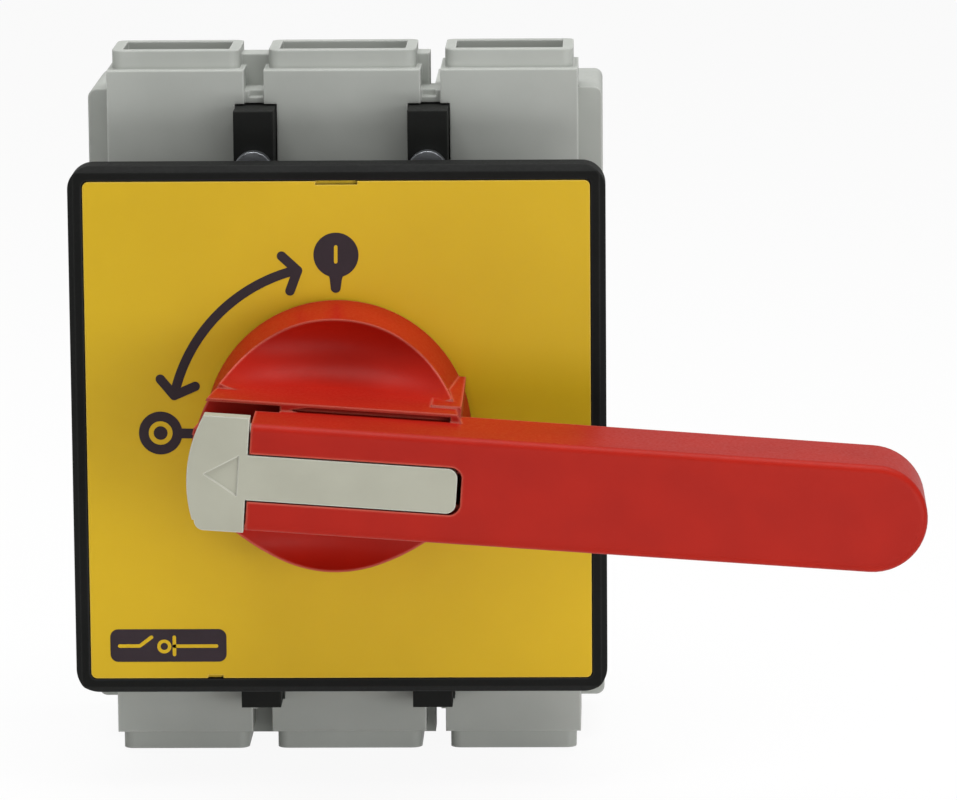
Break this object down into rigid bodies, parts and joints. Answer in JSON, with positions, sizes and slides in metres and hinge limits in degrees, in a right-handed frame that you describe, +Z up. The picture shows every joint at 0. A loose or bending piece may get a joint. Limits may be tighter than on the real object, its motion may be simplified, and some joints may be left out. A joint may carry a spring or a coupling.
{
  "type": "isolator switch",
  "caption": "Door-mounted isolator switch with a square yellow front plate, red knob with a long lever, pull-out padlock slide and a grey multi-pole contact body with cable shrouds.",
  "frame": {"origin": "on the handle's turning axis, in the rear face of the front frame, which lies on the outside of the door", "axes": "+X to the right across the front, +Y along the turning axis into the cabinet, +Z up"},
  "size_m": [0.1418, 0.113, 0.1224],
  "materials": {
    "frame_black": "satin moulded plastic",
    "legend_yellow": "smooth plastic tile",
    "handle_red": "satin moulded plastic",
    "slide_grey": "satin moulded plastic",
    "body_grey": "satin moulded plastic",
    "mechanism_black": "matte moulded plastic",
    "seal_rubber": "soft",
    "zinc_steel": "bright zinc",
    "copper": "bare metal",
    "cam_plastic": "moulded plastic"
  },
  "bodies": {
    "frame": {"front_frame": "frame_black", "legend_plate": "legend_yellow", "panel_seal": "seal_rubber", "hub_seal": "seal_rubber", "door_screws": "zinc_steel", "mechanism_cover": "mechanism_black", "pole_block": "body_grey", "top_shroud": "body_grey", "bottom_shroud": "body_grey", "body_screws": "zinc_steel", "line_contact_1": "copper", "line_contact_2": "copper", "line_contact_3": "copper", "load_contact_1": "copper", "load_contact_2": "copper", "load_contact_3": "copper", "line_clamp_1": "zinc_steel", "line_clamp_2": "zinc_steel", "line_clamp_3": "zinc_steel", "load_clamp_1": "zinc_steel", "load_clamp_2": "zinc_steel", "load_clamp_3": "zinc_steel", "clamp_screws": "zinc_steel"},
    "handle": {"handle_grip": "handle_red", "drive_shaft": "zinc_steel", "retaining_ring": "zinc_steel", "cam_drum": "cam_plastic"},
    "padlock_slide": {"padlock_slide": "slide_grey"},
    "carriage": {"contact_carriage": "cam_plastic", "bridge_contact_1": "copper", "bridge_contact_2": "copper", "bridge_contact_3": "copper", "contact_spring_1": "zinc_steel", "contact_spring_2": "zinc_steel", "contact_spring_3": "zinc_steel"}
  },
  "joints": [
    {"name": "handle_turn", "type": "hinge", "parent": "frame", "child": "handle", "pos_m": [0, 0, 0], "axis": [0, 1, 0], "range_deg": [-4.1, 85.9]},
    {"name": "slide_pull", "type": "slide", "parent": "handle", "child": "padlock_slide", "axis": [-0.9974, 0, 0.0715], "range_m": [0, 0.026]},
    {"name": "carriage_travel", "type": "slide", "parent": "frame", "child": "carriage", "axis": [0, 1, 0], "range_m": [-0.0003, 0.0058]}
  ],
  "couplings": [
    {"joint": "carriage_travel", "follows": "handle_turn", "m_per_rad": 0.0038197}
  ]
}
